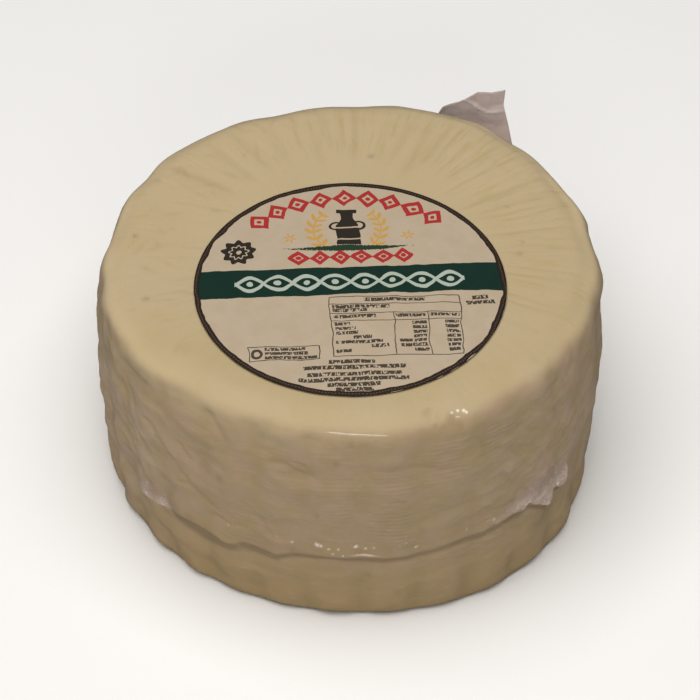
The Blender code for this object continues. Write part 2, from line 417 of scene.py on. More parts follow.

# Where the finish changes: the flank, darkened with painted shade and pinker, with less of that shade on its
# front-left shoulder; the paler sides, with the film's haze and a painted sheen; the far shoulder, lightened
# with painted light; the drawn-in top and the ringed side
lit_shoulder = toward(-124, 27) * hump(heights, 0.0915, 0.0058)
front = toward(-78, 62)
shaded_side = on_side + (1 - rise(0.40, 0.80, np.abs(normals[:, 2])) - on_side) * front
add_layer(cheese, "flank", shaded_side * (1 - 0.70 * lit_shoulder))
# The film's milky haze and a painted sheen lighten the far left and right of the side
haze_and_sheen = toward(-156, 19)
haze_and_sheen = haze_and_sheen + toward(-28, 21) * (0.55 + 0.7 * hump(heights, 0.046, 0.009))
add_layer(cheese, "haze_and_sheen", on_side * haze_and_sheen * (1 - 0.8 * rise(0.070, 0.084, heights)))
# Painted light on the far shoulder, to keep it as bright as the top
far_shoulder = toward(90, 110) * (1 - normals[:, 2]) * rise(0.080, 0.092, heights) / 0.28
add_layer(cheese, "far_shoulder_light", far_shoulder)
drawn_in = on_top * rise(0.050, 0.062, distances) * (0.35 + 0.65 * toward(50, 75))
add_layer(cheese, "drawn_in", drawn_in)
add_layer(cheese, "ringed", on_side * (1 - 0.7 * lumpy_right) * (1 - 0.5 * lumpy_left))


class Value:
    """A number socket in a material. Sums on it add Math nodes."""

    def __init__(self, finish, socket):
        self.finish = finish
        self.socket = socket

    def sum(self, operation, first, second=0.0):
        return self.finish.node("ShaderNodeMath", {"operation": operation}, {0: first, 1: second})[0]

    def __add__(self, other):
        return self.sum("ADD", self, other)

    def __radd__(self, other):
        return self.sum("ADD", other, self)

    def __sub__(self, other):
        return self.sum("SUBTRACT", self, other)

    def __rsub__(self, other):
        return self.sum("SUBTRACT", other, self)

    def __mul__(self, other):
        return self.sum("MULTIPLY", self, other)

    def __rmul__(self, other):
        return self.sum("MULTIPLY", other, self)

    def __truediv__(self, other):
        return self.sum("DIVIDE", self, other)

    def __rtruediv__(self, other):
        return self.sum("DIVIDE", other, self)

    def __mod__(self, other):
        return self.sum("FLOORED_MODULO", self, other)

    def __pow__(self, other):
        return self.sum("POWER", self, other)

    def __gt__(self, other):
        return self.sum("GREATER_THAN", self, other)

    def __lt__(self, other):
        return self.sum("LESS_THAN", self, other)

    def __abs__(self):
        return self.sum("ABSOLUTE", self)

    def sine(self):
        return self.sum("SINE", self)

    def bearing(self, across):
        return self.sum("ARCTAN2", self, across)

    def span(self, other):
        """The distance to a place this far one way and that far the other."""
        return (self * self + other * other) ** 0.5

    def larger(self, other):
        return self.sum("MAXIMUM", self, other)

    def smaller(self, other):
        return self.sum("MINIMUM", self, other)


class Finish:
    """A material. node() adds a node of a type, with its settings and the values or links of its sockets."""

    def __init__(self, name):
        self.material = bpy.data.materials.new(name)
        self.material.use_nodes = True
        self.tree = self.material.node_tree
        self.tree.nodes.clear()

    def node(self, kind, settings, sockets):
        made = self.tree.nodes.new(kind)
        for name, value in settings.items():
            setattr(made, name, value)
        for key, value in sockets.items():
            if isinstance(value, Value):
                self.tree.links.new(value.socket, made.inputs[key])
            else:
                made.inputs[key].default_value = value
        return [Value(self, socket) for socket in made.outputs]

    def mixed(self, share, first, second):
        """A colour between two colours."""
        return self.node("ShaderNodeMix", {"data_type": "RGBA"}, {0: share, 6: first, 7: second})[2]

    def coated(self, colour, coats):
        """A colour under coats of others, each given as its share and its colour."""
        for share, coat in coats:
            colour = self.mixed(share, colour, coat)
        return colour

    def eased(self, value, low, high):
        """0 below low, 1 above high, smooth between."""
        settings = {"interpolation_type": "SMOOTHSTEP"}
        return self.node("ShaderNodeMapRange", settings, {0: value, 1: low, 2: high, 3: 0.0, 4: 1.0})[0]

    def position(self):
        """Object coordinates."""
        return self.node("ShaderNodeTexCoord", {}, {})[3]

    def grain(self, place, scale, detail=2.0, roughness=0.5):
        """Noise from 0 to 1."""
        sockets = {"Vector": place, "Scale": scale, "Detail": detail, "Roughness": roughness}
        return self.node("ShaderNodeTexNoise", {}, sockets)[0]

    def layer(self, name):
        """A named attribute of the mesh."""
        return self.node("ShaderNodeAttribute", {"attribute_name": name}, {})[2]

    def near(self, place, spot, reach):
        """1 at a spot, falling to 0 at its reach."""
        away = self.node("ShaderNodeVectorMath", {"operation": "DISTANCE"}, {0: place, 1: spot})[1]
        return self.eased(away, reach, 0.0)

    def bumped(self, height, distance, strength=1.0):
        """A normal roughened by a height."""
        sockets = {"Strength": strength, "Distance": distance, "Height": height}
        return self.node("ShaderNodeBump", {}, sockets)[0]

    def principled(self, sockets):
        return self.node("ShaderNodeBsdfPrincipled", {}, sockets)[0]

    def show(self, shader):
        self.node("ShaderNodeOutputMaterial", {}, {0: shader})
        return self.material

    def show_through(self, cover, shader):
        """Shows a shader where it covers, and what is behind it elsewhere."""
        nothing = self.node("ShaderNodeBsdfTransparent", {}, {})[0]
        return self.show(self.node("ShaderNodeMixShader", {}, {0: cover, 1: nothing, 2: shader})[0])


def curd_finish():
    """Soft cream curd: cloudy colour, painted shade that darkens its hollows to yellow and its pits to brown,
    and a fine grain.
    """
    curd = Finish("ricotta_curd")
    place = curd.position()
    across, along, level = curd.node("ShaderNodeSeparateXYZ", {}, {0: place})
    flank = curd.layer("flank")
    haze_and_sheen = curd.layer("haze_and_sheen")
    cloud = curd.eased(curd.grain(place, 38.0, 3.0), 0.35, 0.65)
    patch = curd.eased(curd.grain(place, 14.0, 1.0), 0.45, 0.7)
    blush = curd.eased(curd.grain(place, 42.0, 2.0), 0.42, 0.62)
    pink = curd.eased(curd.grain(place, 120.0, 3.0, 0.6), 0.46, 0.62)
    mottle = curd.eased(curd.grain(place, 95.0, 3.0, 0.6), 0.42, 0.62)
    # Painted shade, darker low on the side, and less of it under the film's haze
    low_shade = curd.eased(level + curd.grain(place, 30.0) * 0.02, 0.064, 0.012) * (1 - haze_and_sheen * 0.5)
    fine = curd.eased(curd.grain(place, 420.0, 3.0), 0.62, 0.8)
    colour = curd.mixed(cloud, (0.508, 0.403, 0.246, 1), (0.489, 0.385, 0.219, 1))
    colour = curd.coated(colour, (
        (patch * 0.5, (0.520, 0.413, 0.268, 1)),
        (curd.eased(along, -0.06, 0.08) * 0.75, (0.548, 0.435, 0.262, 1)),
        # Painted light on the far shoulder
        (curd.layer("far_shoulder_light") * 0.8, (0.735, 0.580, 0.350, 1)),
        # Painted shade on the flank, with pinker tones over it
        (flank * 0.8, (0.394, 0.286, 0.184, 1)),
        (blush * flank * 0.45, (0.462, 0.325, 0.212, 1)),
        # The film's haze and painted sheen
        (haze_and_sheen * 0.70, (0.550, 0.415, 0.325, 1)),
        (pink * flank * 0.6, (0.450, 0.322, 0.232, 1)),
        (mottle * flank * 0.6, (0.385, 0.288, 0.148, 1)),
        # Painted shade low on the side
        (low_shade * 0.9, (0.402, 0.284, 0.138, 1)),
        # Painted shade in the hollows
        (curd.layer("hollow_shade_and_tone") * 0.55, (0.385, 0.285, 0.140, 1)),
        (curd.layer("under_edge"), (0.275, 0.195, 0.110, 1)),
        (fine * 0.3, (0.42, 0.33, 0.16, 1)),
        # Painted shade in the pits
        (curd.layer("painted_pit_shade") * 0.7, (0.20, 0.12, 0.05, 1)),
    ))
    # Painted shade in the dimples, and painted glints
    for spot, reach, amount in DIMPLES:
        colour = curd.mixed(curd.near(place, spot, reach) * amount, colour, (0.300, 0.235, 0.085, 1))
    for spot, reach in GLINTS:
        colour = curd.mixed(curd.near(place, spot, reach), colour, (1.0, 0.95, 0.82, 1))

    # Fine wrinkles that run outwards over the top, with painted shade in them, and short dashes from the
    # basket round the side, with painted light where they stand and painted shade between them
    out = across.span(along).larger(0.001)
    spoke = {0: across / out * 36.0, 1: along / out * 36.0, 2: out * 75.0}
    wrinkles = curd.grain(curd.node("ShaderNodeCombineXYZ", {}, spoke)[0], 1.0, 3.0, 0.55)
    drawn_in = curd.layer("drawn_in")
    colour = curd.mixed(curd.eased(wrinkles, 0.50, 0.72) * drawn_in * 0.5, colour, (0.440, 0.355, 0.150, 1))
    hoop = {0: across / out * 17.0, 1: along / out * 17.0, 2: level * 850.0}
    dashes = curd.grain(curd.node("ShaderNodeCombineXYZ", {}, hoop)[0], 1.0, 2.0, 0.55)
    marked = curd.eased(curd.grain(place, 55.0, 2.0), 0.38, 0.62) * curd.layer("ringed")
    colour = curd.mixed(curd.eased(dashes, 0.52, 0.72) * marked * 0.40, colour, (0.495, 0.370, 0.247, 1))
    colour = curd.mixed(curd.eased(dashes, 0.46, 0.28) * marked * 0.35, colour, (0.380, 0.272, 0.150, 1))
    lumps = curd.grain(place, 160.0, 4.0, 0.6) * 0.5
    relief = curd.bumped(lumps - wrinkles * drawn_in * 1.2 + dashes * marked * 0.5, 0.0004, 0.6)
    sockets = {"Base Color": colour, "Roughness": 0.6, "Normal": relief, "Specular IOR Level": 0.3}
    sockets.update({"Subsurface Weight": 0.12, "Subsurface Scale": 0.003})
    sockets.update({"Coat Weight": 1 - flank * 0.75, "Coat Roughness": 0.10})
    return curd.show(curd.principled(sockets))


cheese.data.materials.clear()
cheese.data.materials.append(curd_finish())
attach(cheese, "root")
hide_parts("packed_round")


# The film. A clear shrink bag drawn tight over the whole round. Where it clings to the wet curd it can't be
# told from the curd's own shine; it stands off and shows as film only where it bridges a fold or a hollow.
FILM_OUT = 0.0003
FILM_BRIDGING = 0.4

select_alone(cheese)
bpy.ops.object.duplicate()
film = bpy.context.object
film.name = "clear_film"
pucker = cloudy(places, 0.0035, 4) * (1 + toward(20, 70) + lumpy_left)
tension = 0.00012 * np.sin(np.radians(bearings) * 150 + 4 * cloudy(places, 0.03, 5))
tension = tension * rise(0.078, 0.088, distances)
film_out = FILM_OUT - depth + FILM_BRIDGING * np.maximum(depth, 0) + 0.00004 * pucker + 0.3 * tension * on_top
film_places = places + normals * film_out[:, None]
film_places[:, 2] = np.maximum(film_places[:, 2], 0.0)
move_to(film, film_places)
add_layer(film, "standing", rise(0.25, 0.9, bridged) * rise(70, 95, np.abs(turned(bearings, -90))))


def film_finish(name, dressed, relief, relief_size):
    """Clear plastic film. dressed() gives its colour and how much of it is gloss and how much is milky."""
    clear_film = Finish(name)
    place = clear_film.position()
    crinkle = clear_film.bumped(clear_film.grain(place, relief_size, 3.0, 0.6), relief)
    gloss_at_edges = clear_film.node("ShaderNodeFresnel", {}, {"IOR": 1.45})[0]
    colour, edge_gloss, milk = dressed(clear_film, place, gloss_at_edges)
    cover = (edge_gloss + milk).smaller(1.0)
    sockets = {"Base Color": colour, "Roughness": 0.12, "Normal": crinkle}
    sockets["Metallic"] = edge_gloss / cover.larger(0.001)
    plastic = clear_film.principled(sockets)
    return clear_film.show_through(cover, plastic)


def tight_film(clear_film, place, gloss_at_edges):
    """Clinging film: a little shine and milkiness, and only where it stands off the curd."""
    standing = clear_film.layer("standing")
    return (0.86, 0.80, 0.76, 1), gloss_at_edges.smaller(0.12) * standing, standing * 0.04


film.data.materials.clear()
film.data.materials.append(film_finish("clear_film", tight_film, 0.00006, 240.0))
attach(film, "root")
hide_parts("packed_round")


# The label. A round of printed paper stuck on the film, off the centre towards the front and turned a little:
# a dark ring, a green band, red ornaments over a milk churn between two ochre sprigs, and a ruled table. All
# its lines of small print are plain broken bars.
LABEL_COLUMNS = 220
LABEL_TURN = 3.0
LABEL_GAP = 0.00012
LABEL_THICKNESS = 0.00022
ABOVE_ROUND = 0.12
label_low, label_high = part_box("label")
label_middle = (label_low + label_high) / 2
label_radius = (label_high.x - label_low.x) / 2

film_faces = [face.vertices for face in film.data.polygons]
film_tree = BVHTree.FromPolygons([Vector(place) for place in film_places], film_faces)
bpy.ops.object.select_all(action="DESELECT")
bpy.ops.mesh.primitive_circle_add(
    vertices=LABEL_COLUMNS, radius=label_radius, fill_type="NGON",
    location=(label_middle.x, label_middle.y, label_high.z),
)
label = bpy.context.object
label.name = "printed_label"
bpy.ops.object.transform_apply(location=True, rotation=False, scale=False)
bpy.ops.object.mode_set(mode="EDIT")
pick(label, "faces", lambda face: True)
inset_rings(38, 0.0015)
bpy.ops.mesh.poke()
bpy.ops.object.mode_set(mode="OBJECT")
label_places = coordinates(label.data, "co")
for place in label_places:
    start = Vector((place[0], place[1], ABOVE_ROUND))
    place[2] = film_tree.ray_cast(start, Vector((0, 0, -1)))[0].z + LABEL_GAP
label_places[:, 2] += 0.00008 * cloudy(label_places, 0.011, 6) + 0.00003 * cloudy(label_places, 0.004, 7)
move_to(label, label_places)


def give_wall(piece, thickness, offset):
    """Makes a sheet a closed wall: outwards of the sheet with an offset of 1, to both sides with 0."""
    wall = piece.modifiers.new("wall", "SOLIDIFY")
    wall.thickness = thickness
    wall.offset = offset
    select_alone(piece)
    bpy.ops.object.modifier_apply(modifier="wall")


give_wall(label, LABEL_THICKNESS, 1)


def label_finish():
    """Cream paper with its print, laid out in millimetres from the label's centre."""
    paper = Finish("printed_paper")
    sockets = {"Vector": paper.position(), "Location": (label_middle.x, label_middle.y, 0)}
    sockets.update({"Rotation": (0, 0, math.radians(LABEL_TURN)), "Scale": (MM, MM, 1)})
    flat = paper.node("ShaderNodeMapping", {"vector_type": "TEXTURE"}, sockets)[0]
    across, up = paper.node("ShaderNodeSeparateXYZ", {}, {0: flat})[:2]
    wobble = (paper.grain(flat, 0.30, 3.0) - 0.5) * 0.5
    sway = (paper.grain(flat, 0.085, 2.0) - 0.5) * 3.2
    u = across + wobble + sway
    v = up + wobble - sway * 0.7
    out = u.span(v)
    turn = v.bearing(u) * (180 / math.pi)

    def block(left, right, low, high, tilt=0.0):
        """A rectangle, which may slope."""
        beside = abs(u - (left + right) / 2) < (right - left) / 2
        return beside * (abs(v - u * tilt - (low + high) / 2) < (high - low) / 2)

    def frame_line(left, right, low, high, tilt=0.0, line=0.38):
        """The outline of a rectangle."""
        inner = block(left + line, right - line, low + line, high - line, tilt)
        return block(left, right, low, high, tilt) - inner

    def lozenge(along, over, half_long, half_high, hollow_share, dot):
        """A hollow lozenge round a dot."""
        reach = abs(along) / half_long + abs(over) / half_high
        return ((reach < 1.0) * (reach > hollow_share)).larger(along.span(over) < dot)

    # Broken strokes stand for every line of small print
    strokes_place = paper.node("ShaderNodeMapping", {}, {"Vector": flat, "Scale": (1.5, 0.55, 1)})[0]
    strokes = paper.grain(strokes_place, 1.0, 1.0) > 0.42

    def print_line(left, right, middle, height, tilt=0.0):
        """A line of small print."""
        return block(left, right, middle - height / 2, middle + height / 2, tilt) * strokes

    # The green band and the pale chain along it
    band = block(-60, 60, -4.7, 10.1, 0.004)
    chain_v = v - 2.3
    wave = (u * (math.tau / 21.0)).sine() * 3.5
    chain = (abs(chain_v - wave) < 0.95).larger(abs(chain_v + wave) < 0.95)
    eye = (u + 42.0) % 10.5 - 5.25
    chain = chain.larger(eye.span(chain_v) < 1.3) * (abs(u) < 42.3)

    # Red lozenges in an arc at the head and in a row under it, each round a dot
    arc_radius = 48.7
    arc_step = 10.4
    arc_place = (turn - 90 + arc_step / 2) % arc_step - arc_step / 2
    arc_along = arc_place * (arc_radius * math.pi / 180)
    arc = lozenge(arc_along, out - arc_radius, 4.6, 4.9, 0.50, 0.89) * (abs(turn - 90) < 4.5 * arc_step)
    row_step = 7.8
    row_place = (u - 1.0 + 3 * row_step) % row_step - row_step / 2
    row = lozenge(row_place, v - 15.7, 4.2, 4.0, 0.44, 0.95) * (abs(u - 1.0) < 3 * row_step)
    red = arc.larger(row)

    # The emblem: a churn with a lid and two handles, on a strip of grass, between two leafy sprigs
    churn_side = abs(u - 0.5)
    churn_half = 4.4
    narrowing = ((v - 33.5) / 1.6).larger(0.0).smaller(2.0)
    churn = (churn_side < churn_half - narrowing) * (abs(v - 31.3) < 8.6)
    lid = (churn_side < 3.6) * (abs(v - 40.8) < 1.0)
    handle = abs((churn_side - churn_half).span(v - 33.0) - 2.0) < 0.45
    hoop = (abs(v - 25.8) < 0.35).larger(abs(v - 32.0) < 0.35) * (churn_side < churn_half)
    churn = churn.larger(lid).larger(handle) - hoop
    grass_half = 24.5
    blades = (grass_half - churn_side) * 0.075 + (paper.grain(flat, 1.6) - 0.5) * 1.6
    grass = (abs(v - 20.8) < blades) * (churn_side < grass_half)
    sprig_radius = 12.6
    sprig_v = v - 31.0
    sprig_turn = sprig_v.bearing(churn_side)
    off_stem = abs(churn_side.span(sprig_v) - sprig_radius)
    leaf_along = (sprig_turn * sprig_radius - off_stem * 0.7) % 3.6 - 1.8
    leaf_over = off_stem - 1.7
    leaf = (leaf_along * leaf_along / 0.85 + leaf_over * leaf_over / 2.2) < 1.0
    sprig = leaf.larger(off_stem < 0.3) * (abs(sprig_turn) < 0.82)
    petal_u = churn_side - 22.0
    petal_v = v - 27.0
    petal_out = petal_u.span(petal_v)
    petals = (petal_v.bearing(petal_u) * 6).sine()
    flower = (petal_out < 1.5 + petals * 1.1) * (petal_out > 0.6)
    ochre = sprig.larger(flower)

    # The stamp at the left: a dark scalloped rosette with a pale eye
    stamp_u = u + 40.5
    stamp_v = v - 20.0
    stamp_out = stamp_u.span(stamp_v)
    scallops = (stamp_v.bearing(stamp_u) * 9).sine()
    stamp = stamp_out < 6.2 + scallops * 0.7
    stamp = stamp - (abs(stamp_out - 3.4 - scallops * 0.5) < 0.30) - (stamp_out < 1.1)

    # The ruled table: its frame, three rules across, two down, and its lines of print
    table_tilt = -0.0165
    marks = [frame_line(-8.3, 39.6, -37.2, -6.1, table_tilt)]
    marks += [block(-8.3, 39.6, rule - 0.18, rule + 0.18, table_tilt) for rule in (-10.0, -14.8, -18.6)]
    marks += [block(rule - 0.18, rule + 0.18, -37.0, -14.6, table_tilt) for rule in (15.2, 27.6)]
    heads = ((5, 27, -7.8), (-7, 14, -11.3), (-7, 5.4, -13.2))
    heads += ((-7, 8.3, -16.3), (15.9, 26.5, -16.3), (28.3, 38.7, -16.3))
    marks += [print_line(left, right, middle, 1.69, table_tilt) for left, right, middle in heads]
    rows = ((-7, -1, 5.2), (-7, 1, 5.2), (-7, 2, 5.2), (-0.3, 6.7, 5.2), (-7, 10.7, 9.8), (6, 13, 9.8))
    for line, (left, right, reach) in enumerate(rows + rows[:1]):
        for start, end in ((left, right), (26.8 - reach, 26.8), (33.8, 38.6)):
            marks.append(print_line(start, end, -20.2 - 2.37 * line, 1.625, table_tilt))

    # The notes beside it and the centred lines at the foot, then the small box at the left
    notes = ((43.8, 50.3, -8.2), (41.5, 52.5, -10.8), (-9.6, 6.8, -40.0), (-19.3, 17.4, -42.8))
    notes += ((-17.9, 15.9, -46.2), (-20.9, 18.5, -48.9), (-11.0, 8.8, -51.6), (-7.8, 5.7, -54.0))
    marks += [print_line(left, right, middle, 1.95) for left, right, middle in notes]
    marks.append(frame_line(-38.5, -12.4, -38.4, -31.1))
    badge = (u + 35.3).span(v + 34.8)
    marks.append((badge < 2.5) * (badge > 1.3))
    for right, middle in ((-17.6, -32.6), (-16.8, -34.8), (-13.4, -37.0)):
        marks.append(print_line(-32.0, right, middle, 1.56))
    ink = marks[0]
    for mark in marks[1:]:
        ink = ink.larger(mark)

    # The dark ring, with a row of pale dots along it
    ring_radius = 56.4
    off_ring = abs(out - ring_radius)
    ring_dot = abs((turn * (ring_radius * math.pi / 180)) % 1.2 - 0.6) < 0.3
    ring = (off_ring < 1.15) * (1 - ring_dot * (off_ring < 0.22) * 0.15)

    fibre = paper.grain(flat, 0.12, 4.0, 0.6)
    colour = paper.mixed(paper.eased(fibre, 0.35, 0.65), (0.472, 0.383, 0.284, 1), (0.452, 0.362, 0.258, 1))
    green = paper.mixed(fibre, (0.0065, 0.0255, 0.0180, 1), (0.0115, 0.0325, 0.0240, 1))
    colour = paper.coated(colour, (
        ((out > 57.5) * 0.9, (0.465, 0.375, 0.295, 1)),
        (ink * 0.9, (0.022, 0.018, 0.014, 1)),
        (ochre, (0.520, 0.300, 0.075, 1)),
        (grass, (0.022, 0.045, 0.026, 1)),
        (churn.larger(stamp) * 0.97, (0.016, 0.013, 0.011, 1)),
        (red * 0.96, (0.370, 0.018, 0.022, 1)),
        (band * (out < 55.5), green),
        (chain * band * 0.97, (0.415, 0.470, 0.400, 1)),
        (ring * 0.97, (0.016, 0.008, 0.006, 1)),
    ))
    relief = paper.bumped(paper.grain(flat, 0.9, 3.0), 0.0001, 0.4)
    sockets = {"Base Color": colour, "Roughness": 0.55, "Normal": relief, "Specular IOR Level": 0.3}
    return paper.show(paper.principled(sockets))


label.data.materials.append(label_finish())
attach(label, "root")
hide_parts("label")


# The sealed edge. The bag's mouth, folded flat round the front and heat sealed: a narrow band of crinkled
# film whose free lower edge stands a little off the round, with a crumpled flap at its right end and folds at
# its left. Its lower and its upper edge are given as bearings in degrees and heights in millimetres.
EDGE_LINE = (
    (-147, 33.8), (-145, 29.8), (-142, 28.4), (-138.5, 29.3), (-135, 30.8), (-132, 32),
    (-130.3, 31.9), (-128.8, 32.4), (-127, 31.9), (-124.8, 31.2), (-123.3, 30.9), (-122.1, 31.4),
    (-120.9, 31.7), (-119.7, 30.7), (-118.8, 30.9), (-117.9, 30.6), (-116.7, 31.5), (-115.2, 33.1),
    (-113.6, 32.8), (-112.1, 32.9), (-110.6, 32.8), (-109.1, 32.9), (-107.6, 32.5), (-106.4, 32.1),
    (-105.2, 33.8), (-103, 35), (-101.5, 35.1), (-98.5, 36), (-93.9, 37), (-90, 36.8),
    (-86.6, 36.7), (-83.9, 36.1), (-82.2, 35.3), (-79.8, 35.8), (-76.4, 36), (-73, 36.5),
    (-69.6, 37.7), (-66.2, 38.5), (-62.8, 38.3), (-59.4, 38.3), (-56, 39.5), (-53.3, 40.8),
    (-50.9, 40.4), (-49.2, 39.3), (-47.4, 41), (-46.5, 39.1), (-45.2, 36.9), (-43.5, 34.8),
    (-41.9, 32.7), (-40.7, 31.4), (-40.1, 32.5), (-39.7, 36.4), (-38.7, 37.5), (-37.8, 37),
    (-36.5, 34.7), (-35.6, 34.3), (-34.7, 35.2), (-34, 39.2), (-33.7, 44),
)
UPPER_LINE = (
    (-147, 36.8), (-144.5, 40.8), (-141, 40.8), (-137, 38.3), (-133, 39.3), (-126, 40.8),
    (-119, 40.3), (-110, 42.8), (-101, 45.8), (-90, 46.3), (-79, 47.8), (-67.5, 48.3),
    (-60, 48.3), (-56, 48.8), (-51, 50.8), (-46.8, 52.9), (-43.5, 55.3), (-38.3, 55.6),
    (-35.5, 52.1), (-34.3, 48.4), (-33.7, 45),
)
# Under the free edge the curd is in shadow: bearing, and how many millimetres the shadow reaches down
SHADOW_LINE = (
    (-136, 1.2), (-134.5, 2.2), (-132, 3.6), (-130, 4), (-126, 4.8), (-123, 5.2),
    (-121, 4), (-119.5, 2.8), (-114, 3.1), (-111, 2.8), (-108, 2.2), (-106, 2),
    (-104, 1.4), (-98, 1.2), (-95.5, 0.6), (-93, 0.5), (-91, 1.2), (-83, 1.6),
    (-79, 1.3), (-70, 1.5), (-62, 2.1), (-56, 2.5), (-52, 3), (-48, 2.8),
    (-46, 1.2), (-33, 0.8),
)
# Points of light on the crinkles: bearing, height, reach, strength
SPARKLES = (
    (-102.6, 0.0410, 0.0005, 0.7), (-97.0, 0.0414, 0.0007, 0.9), (-96.2, 0.0413, 0.0006, 0.8),
    (-94.4, 0.0406, 0.0004, 0.6), (-92.3, 0.0407, 0.0004, 0.5), (-93.5, 0.0385, 0.0004, 0.4),
    (-91.3, 0.0380, 0.0004, 0.4), (-88.5, 0.0418, 0.0006, 1.0), (-86.4, 0.0404, 0.0005, 0.4),
    (-84.6, 0.0408, 0.0004, 0.4), (-77.7, 0.0429, 0.0004, 0.6), (-79.1, 0.0416, 0.0003, 0.4),
    (-75.4, 0.0391, 0.0005, 0.7), (-63.6, 0.0416, 0.0003, 0.4), (-118.2, 0.0389, 0.0004, 0.4),
    (-57.1, 0.0418, 0.0005, 0.6), (-58.4, 0.0420, 0.0003, 0.5), (-47.4, 0.0398, 0.0006, 0.7),
    (-41.0, 0.0356, 0.0003, 0.5), (-37.5, 0.0376, 0.0004, 0.6), (-142.6, 0.0303, 0.0005, 0.6),
)
TAIL_COLUMNS = 640
TAIL_ROWS = 34
TAIL_THICKNESS = 0.00012
LIP = 0.0009
LIP_REACH = 0.0012
OUTSIDE_ROUND = 0.13

edge_turns, edge_heights = np.transpose(EDGE_LINE)
upper_turns, upper_heights = np.transpose(UPPER_LINE)
shadow_turns, shadow_reaches = np.transpose(SHADOW_LINE)


def free_edge(turns):
    """The height of the free edge at each bearing, its corners rounded off."""
    steps = (-0.5, -0.25, 0, 0.25, 0.5)
    return MM * np.mean([np.interp(turns + step, edge_turns, edge_heights) for step in steps], axis=0)


def add_grid(name, columns, rows):
    """A flat grid that reaches from -1 to 1 each way, ready to be bent into shape."""
    bpy.ops.object.select_all(action="DESELECT")
    bpy.ops.mesh.primitive_grid_add(x_subdivisions=columns, y_subdivisions=rows, size=2, location=(0, 0, 0))
    bpy.context.object.name = name
    return bpy.context.object


tail = add_grid("sealed_edge", TAIL_COLUMNS, TAIL_ROWS)
grid = coordinates(tail.data, "co")
tail_turns = edge_turns[0] + (edge_turns[-1] - edge_turns[0]) * (grid[:, 0] + 1) / 2
up_share = ((grid[:, 1] + 1) / 2) ** 1.6
lower = free_edge(tail_turns)
upper = MM * np.interp(tail_turns, upper_turns, upper_heights)
tail_heights = lower + (upper - lower) * up_share
flap = rise(-60, -45, tail_turns)
patch = rise(-147, -143, tail_turns) * (1 - rise(-137, -131, tail_turns))
around = np.stack([tail_turns * 0.0016, tail_heights, tail_turns * 0], axis=1)
edge_unevenness = 1 + 0.4 * cloudy(around * (1, 0, 0), 0.008, 8)
above = tail_heights - lower
lift = LIP * edge_unevenness * np.exp(-above / LIP_REACH) * (1 - 0.6 * patch - 0.5 * flap)
crinkle = 0.00022 * cloudy(around, 0.0055, 9) + 0.00012 * np.abs(cloudy(around, 0.0026, 10))
lift = lift + 0.00040 + crinkle * (1 + 2.0 * flap + 0.8 * patch)
lift += 0.0003 * flap * (0.4 + np.abs(cloudy(around, 0.010, 11)))
sunk = rise(0.35, 1.0, up_share)
lift = np.maximum(lift, 0.00012) * (1 - sunk) - 0.0002 * sunk
tail_places = np.zeros_like(grid)
for index, (turn, level) in enumerate(zip(np.radians(tail_turns), tail_heights)):
    outward = Vector((math.cos(turn), math.sin(turn), 0))
    start = outward * OUTSIDE_ROUND
    start.z = level
    spot = film_tree.ray_cast(start, -outward)[0]
    tail_places[index] = spot + outward * lift[index]
move_to(tail, tail_places)
select_alone(tail)
bpy.ops.object.mode_set(mode="EDIT")
bpy.ops.mesh.select_all(action="SELECT")
bpy.ops.mesh.normals_make_consistent(inside=False)
bpy.ops.object.mode_set(mode="OBJECT")

# How much of the band shows, how frosted it is, the painted highlight along its rim and its painted points of
# light
fade = (1 - rise(0.10, 0.90, up_share)) * rise(-147, -144, tail_turns)
fade = fade * (1 - 0.4 * rise(-35.5, -33.7, tail_turns))
add_layer(tail, "present", fade * (flap + patch))
lobes = np.maximum(hump(tail_turns, -142.3, 1.8), hump(tail_turns, -137.0, 2.2))
add_layer(tail, "frost", fade * (0.46 * flap + patch * (0.12 + 0.36 * lobes)))
add_layer(tail, "rim", fade * hump(above, 0.0012, 0.0003) * 0.6 * hump(tail_turns, -86.5, 2.2))
sparkle = np.zeros(len(grid))
for turn, level, reach, strength in SPARKLES:
    off = np.hypot(np.radians(tail_turns - turn) * 0.095, tail_heights - level)
    sparkle = np.maximum(sparkle, strength * hump(off, 0, reach))
add_layer(tail, "sparkle", sparkle)

# The shadow starts on the curd where the free edge hides it, and fades out downwards
first_row = grid[:, 1] < -0.999
stand_off = np.interp(bearings, tail_turns[first_row], lift[first_row]) + 0.0007
below = free_edge(bearings) - stand_off - heights
reach = MM * np.interp(bearings, shadow_turns, shadow_reaches) * 1.2 + 0.0005
shadow = 0.95 * rise(-0.0008, 0.0000, below) * (1 - rise(0.45 * reach, reach + 0.0007, below))
shadow += 0.30 * hump(below, 0.0003, 0.0004) * rise(0.0012, 0.0018, reach)
under_flap = hump(bearings, -42, 5) * hump(heights, 0.0255, 0.006)
under_flap += hump(bearings, -30, 2.5) * hump(heights, 0.040, 0.006)
shadow = shadow * rise(-137, -134, bearings) * (1 - rise(-34, -33, bearings)) + 0.45 * under_flap
add_layer(cheese, "under_edge", shadow * on_side)
give_wall(tail, TAIL_THICKNESS, 0)


def sealed_film(clear_film, place, gloss_at_edges):
    """Crinkled film: milky where it is frosted, with fine streaks, a painted highlight on its rim and painted
    points of light.
    """
    streaks = clear_film.eased(clear_film.grain(place, 330.0, 3.0, 0.65), 0.40, 0.70)
    sparkle = clear_film.layer("sparkle")
    colour = clear_film.mixed(sparkle, (0.84, 0.69, 0.61, 1), (1.0, 0.90, 0.74, 1))
    gloss = gloss_at_edges.smaller(0.05) * clear_film.layer("present")
    milk = clear_film.layer("frost") * (0.6 + streaks * 0.5) + clear_film.layer("rim") + sparkle * 0.85
    return colour, gloss, milk


tail.data.materials.append(film_finish("crinkled_film", sealed_film, 0.00015, 420.0))
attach(tail, "root")
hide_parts("bag_tail")


